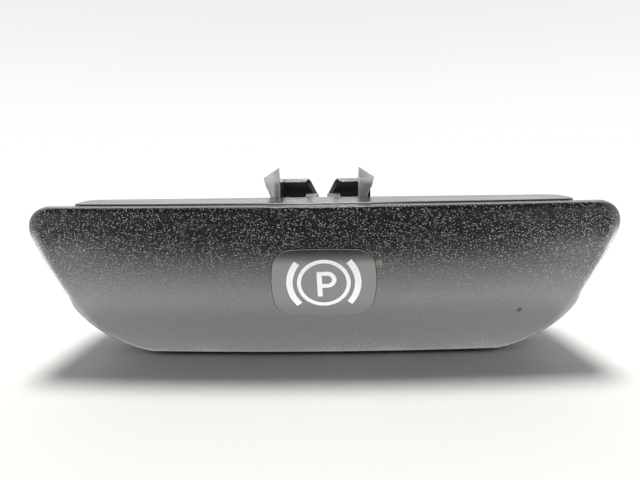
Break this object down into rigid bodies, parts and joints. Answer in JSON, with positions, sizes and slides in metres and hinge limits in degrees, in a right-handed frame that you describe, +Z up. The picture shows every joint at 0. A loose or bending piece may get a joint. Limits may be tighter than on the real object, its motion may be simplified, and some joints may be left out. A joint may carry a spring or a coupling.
{
  "type": "parking brake release handle",
  "caption": "Wide pull handle for a parking brake release: grained grip shell with a symbol insert, inner carrier with finger scoop and notched cable box, and a snap-hook clip.",
  "frame": {"origin": "middle of the handle's box, on the surface that its keel rests on", "axes": "+X along the width to the driver's right, +Y away from the driver, +Z up out of the deck"},
  "size_m": [0.12, 0.03, 0.0421],
  "materials": {
    "grained_plastic": "fine leather grain, satin",
    "carrier_plastic": "smooth moulded, satin",
    "insert_plastic": "smooth, satin, white printed symbol",
    "clip_plastic": "natural acetal, satin"
  },
  "bodies": {
    "root": {"grip_shell": "grained_plastic", "grip_carrier": "carrier_plastic", "symbol_insert": "insert_plastic", "retaining_clip": "clip_plastic"}
  },
  "joints": []
}
